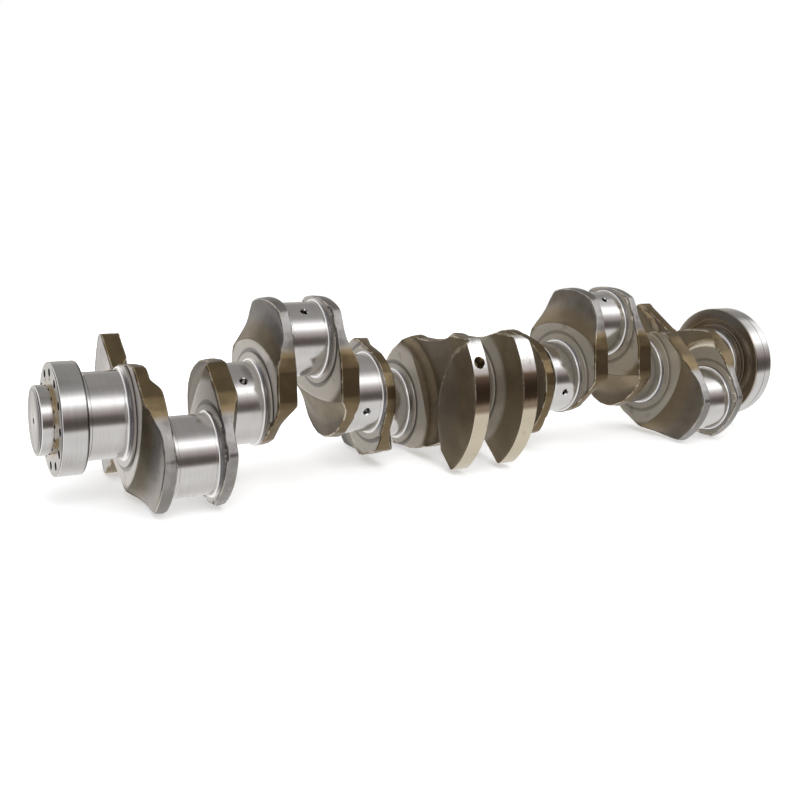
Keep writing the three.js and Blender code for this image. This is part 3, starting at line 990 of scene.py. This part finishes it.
def add_web(number):
    node = f"counterweight_web_{number}" if number in FANS else f"web_{number}"
    side = 1 if number % 2 else -1
    phase = PIN_PHASE[(number + 1) // 2 - 1]
    main_x = MAIN_X[number // 2]
    places, faces, zones = build_web(number)
    solid = roughen(places, zones, number)
    sin, cos = math.sin(phase), math.cos(phase)
    world = solid @ np.array([(side, 0.0, 0.0), (0.0, -sin, cos), (0.0, -cos, -sin)]) + (main_x, 0.0, 0.0)
    if side < 0:
        faces = [f[::-1] for f in faces]
    piece = add_piece(node, "forged_steel", world, faces, WEB_CREASE_ANGLE)
    if number == BALANCE_WEB:
        x = main_x + side * (MAIN_CHEEK + FAN_CHEEK) / 2
        drill(piece, [radial_hole(x, FANS[number]["radius"], BALANCE_PHASE, (0.0, 0.0), BALANCE_HOLE)])
        carry_zones(world * MM, piece.data, places, zones)
    else:
        store_zones(piece.data, places, zones)


# ---- flanges and spigot

def hole_circle(x, into, circle, phases, sizes):
    return [hole(at_phase(x, circle, math.radians(p)), (into, 0.0, 0.0), **sizes) for p in phases]


def rounded(corners, steps=4):
    """A profile from (x, radius, rounding) corners; a rounding of 0 keeps the corner sharp."""
    out = []
    for i, (x, r, size) in enumerate(corners):
        if not size:
            out.append((x, r))
            continue
        before, after, here = np.array(corners[i - 1][:2]), np.array(corners[i + 1][:2]), np.array((x, r))
        a = here + (before - here) / np.hypot(*(before - here)) * size
        b = here + (after - here) / np.hypot(*(after - here)) * size
        for k in range(steps + 1):
            share = k / steps
            out.append(tuple((1 - share) ** 2 * a + 2 * share * (1 - share) * here + share ** 2 * b))
    return out


def add_turned(node, profile):
    points, faces = lathe(rounded(profile), FLANGE_STEPS)
    return add_piece(node, "turned_steel", points, faces)


def add_front_flange():
    low, high = ends_of("front_flange")
    radius, chamfer = FRONT_FLANGE["radius"], FRONT_FLANGE["chamfer"]
    piece = add_turned("front_flange", [
        (low, 0.0, 0),
        (low, radius, chamfer),
        (high, radius, chamfer * 1.4),
        (high, 0.0, 0),
    ])
    drill(piece, hole_circle(low, 1.0, FRONT_BOLT_CIRCLE, ALL_ROUND, FRONT_BOLTS))
    drill(piece, hole_circle(low, 1.0, DOWEL_CIRCLE, DOWEL_PHASES, DOWELS))


def add_front_spigot():
    low, high = ends_of("front_spigot")
    size = SPIGOT
    radius = size["radius"]
    shoulder = low + size["pad_height"]
    neck = radius - size["neck"]
    add_turned("front_spigot", [
        (low + size["drill_depth"], 0.0, 0),
        (low, size["drill"], 0.4),
        (low, radius * size["pad"], 0),
        (shoulder, radius * size["step"], 0),
        (shoulder, radius, size["chamfer"]),
        (high - size["neck_start"], radius, 0),
        (high - size["neck_end"], neck, 0),
        (high + SEAT, neck, 0),
        (high + SEAT, 0.0, 0),
    ])


def add_rear_flange():
    low, high = ends_of("rear_flange")
    size, groove = REAR_FLANGE, REAR_GROOVE
    radius = size["radius"]
    front = low + REAR_STEP
    floor = front + size["relief"]
    cut = front + (high - front) * groove["share"]
    piece = add_turned("rear_flange", [
        (low, 0.0, 0),
        (low, size["relief_in"], 0.5),
        (floor, size["relief_in"], 1.5),
        (floor, size["relief_out"] - 2.0, 1.5),
        (front, size["relief_out"], 0.5),
        (front + REAR_CONE, radius, 1.2),
        (cut, radius, 0),
        (cut + groove["wall"], radius - groove["depth"], 0),
        (cut + groove["floor"], radius - groove["depth"], 0),
        (cut + groove["floor"] + groove["wall"], radius, 0),
        (high, radius, size["chamfer"]),
        (high, 0.0, 0),
    ])
    drill(piece, hole_circle(high, -1.0, REAR_BOLT_CIRCLE, ALL_ROUND, REAR_BOLTS))


# ---- studio

FLOOR = {"half": 14.0, "gap": 0.0005, "grey": 0.93, "lift": 0.42, "fade": (0.7, 1.6)}
MIDDLE_X = (CAD_BOX[0][0] + CAD_BOX[1][0]) / 2


def make_floor():
    """A pale floor that shows the shadow, and goes over into plain white away from the part."""
    material, graph = new_material("studio_floor")
    seen = graph.add("LightPath").outputs["Is Camera Ray"]
    surface = graph.out("BsdfDiffuse", {"Color": grey(FLOOR["grey"])})
    lift = {"Color": grey(1.0), "Strength": graph.times(seen, FLOOR["lift"])}
    glow = graph.out("Emission", lift)
    lit = graph.out("AddShader", {0: surface, 1: glow})
    x, y, _ = graph.split(graph.object_place())
    away = graph.length(graph.minus(x, MIDDLE_X), y)
    white = graph.out("Emission", {"Color": grey(1.0), "Strength": 1.0})
    distant = graph.times(seen, graph.range(away, *FLOOR["fade"]))
    faded = graph.out("MixShader", {0: distant, 1: lit, 2: white})
    graph.add("OutputMaterial", {"Surface": faded})
    half = FLOOR["half"]
    height = CAD_BOX[0][2] - FLOOR["gap"]
    corners = [(MIDDLE_X + i * half, j * half, height) for i, j in ((-1, -1), (1, -1), (1, 1), (-1, 1))]
    mesh = bpy.data.meshes.new("floor")
    mesh.from_pydata(corners, [], [(0, 1, 2, 3)])
    mesh.materials.append(material)
    floor = link("floor", mesh)
    floor.visible_glossy = False


# What polished steel mirrors, from straight down to straight up: (elevation in degrees, colour).
SKY = (
    (-90, (0.74, 0.72, 0.70)),
    (-55, (0.92, 0.91, 0.90)),
    (-30, (0.86, 0.85, 0.84)),
    (-15, (0.95, 0.93, 0.91)),
    (-9.5, (0.15, 0.125, 0.105)),
    (2, (0.10, 0.085, 0.075)),
    (11, (0.16, 0.135, 0.125)),
    (19, (0.42, 0.36, 0.355)),
    (28, (0.62, 0.58, 0.57)),
    (35, (1.05, 1.04, 1.03)),
    (42, (1.95, 1.95, 1.97)),
    (52, (1.95, 1.95, 1.97)),
    (60, (0.90, 0.89, 0.89)),
    (69, (0.42, 0.41, 0.40)),
    (90, (0.27, 0.26, 0.25)),
)
# The far side of the studio has no dark band and no bright one.
BACK_LOW = (0.50, 0.48, 0.45)
BACK_HIGH = (0.36, 0.35, 0.34)
# Faces that look along the axis mirror the front end: dark beside the camera, light straight ahead.
FRONT_DARK = (0.20, 0.20, 0.22)
FRONT_LIGHT = (1.44, 1.42, 1.40)
ENDS = (0.40, 0.40, 0.40)
SKY_GAIN = 2.0  # colours are stored divided by this, as a ramp holds nothing above 1
AMBIENT = {"grey": 0.85, "strength": 0.75}


def stored(colour):
    return (*(c / SKY_GAIN for c in colour), 1.0)


def sky_bands(graph, lean):
    """The colours of SKY, by the sine of the elevation."""
    angle = graph.math("ARCSINE", graph.math("MINIMUM", graph.most(lean, -1.0), 1.0))
    ramp = graph.add("ValToRGB", {"Fac": graph.plus(graph.math("DIVIDE", angle, math.pi), 0.5)})
    stops = ramp.color_ramp.elements
    while len(stops) > 1:
        stops.remove(stops[-1])
    for i, (elevation, colour) in enumerate(SKY):
        position = (elevation + 90) / 180
        stop = stops[0] if i == 0 else stops.new(position)
        stop.position = position
        stop.color = stored(colour)
    return ramp.outputs["Color"]


def make_world():
    """A softbox studio. The camera sees white, diffuse light is even, and reflections see bands."""
    world = bpy.data.worlds.new("studio")
    bpy.context.scene.world = world
    world.use_nodes = True
    graph = Graph(world.node_tree)
    x, y, z = graph.split(graph.add("TexCoord").outputs["Generated"])
    lean = graph.lerp(0.6, z, graph.math("DIVIDE", z, graph.most(graph.length(y, z), 0.05)))
    bands = sky_bands(graph, lean)
    low = graph.times(graph.range(lean, 0.45, 0.30), graph.range(lean, -0.30, -0.15))
    bands = graph.mix(graph.times(graph.range(y, 0.15, 0.75), low), bands, stored(BACK_LOW))
    high = graph.times(graph.range(y, 0.05, 0.30), graph.range(lean, 0.35, 0.50))
    bands = graph.mix(high, bands, stored(BACK_HIGH))
    bands = graph.tint(bands, graph.range(graph.math("ABSOLUTE", x), 0.80, 0.97), 0.7, stored(ENDS))
    front = graph.mix(graph.range(x, -0.70, -0.22), stored(FRONT_DARK), stored(FRONT_LIGHT))
    bands = graph.mix(graph.range(x, -0.02, -0.18), bands, front)

    path = graph.add("LightPath").outputs

    def light(colour, strength):
        return graph.out("Background", {"Color": colour, "Strength": strength})

    ambient = light(grey(AMBIENT["grey"]), AMBIENT["strength"])
    shine = light(bands, SKY_GAIN)
    rest = graph.out("MixShader", {0: path["Is Glossy Ray"], 1: ambient, 2: shine})
    white = light(grey(1.0), 1.0)
    all_rays = graph.out("MixShader", {0: path["Is Camera Ray"], 1: rest, 2: white})
    graph.add("OutputWorld", {"Surface": all_rays})


# Soft lights, in metres and watts; each place is counted from below the middle of the part.
SOFTBOXES = {
    "key_light": {"place": (-0.3, -1.6, 2.2), "size": (2.4, 1.2), "power": 28.0},
    "top_light": {"place": (0.0, 0.4, 2.4), "size": (2.6, 1.6), "power": 22.0},
}


def add_softbox(name, place, size, power):
    light = bpy.data.lights.new(name, "AREA")
    light.shape = "RECTANGLE"
    light.size, light.size_y = size
    light.energy = power
    box = link(name, light)
    target = Vector((MIDDLE_X, 0.0, 0.0))
    box.location = target + Vector(place)
    box.rotation_euler = (target - box.location).to_track_quat("-Z", "Y").to_euler()
    box.visible_glossy = False


# Place in millimetres, turns in degrees, focal length for a 36 mm sensor.
CAMERA = {"place": (-1274.5, -1058.0, 298.0), "yaw": 29.7, "pitch": 11.2, "roll": 2.75,
          "focal": 43.155, "shift": (0.0341, -0.0638)}


def add_camera():
    data = bpy.data.cameras.new("camera")
    data.sensor_width = 36.0
    data.lens = CAMERA["focal"]
    data.shift_x, data.shift_y = CAMERA["shift"]
    data.clip_end = 100.0
    camera = link("camera", data)
    yaw, pitch, roll = (math.radians(CAMERA[k]) for k in ("yaw", "pitch", "roll"))
    forward = Vector((math.sin(yaw) * math.cos(pitch), math.cos(yaw) * math.cos(pitch), -math.sin(pitch)))
    level = Vector((math.cos(yaw), -math.sin(yaw), 0.0))
    upright = level.cross(forward)
    right = math.cos(roll) * level + math.sin(roll) * upright
    up = -math.sin(roll) * level + math.cos(roll) * upright
    turn = Matrix((right, up, -forward)).transposed()
    camera.matrix_world = Matrix.Translation(Vector(CAMERA["place"]) * MM) @ turn.to_4x4()
    bpy.context.scene.camera = camera


# ---- the scene

add_journals()
for web_number in range(1, 13):
    add_web(web_number)
add_front_flange()
add_front_spigot()
add_rear_flange()
make_floor()
make_world()
for light_name, softbox in SOFTBOXES.items():
    add_softbox(light_name, **softbox)
add_camera()
bpy.context.scene.view_settings.view_transform = "Standard"
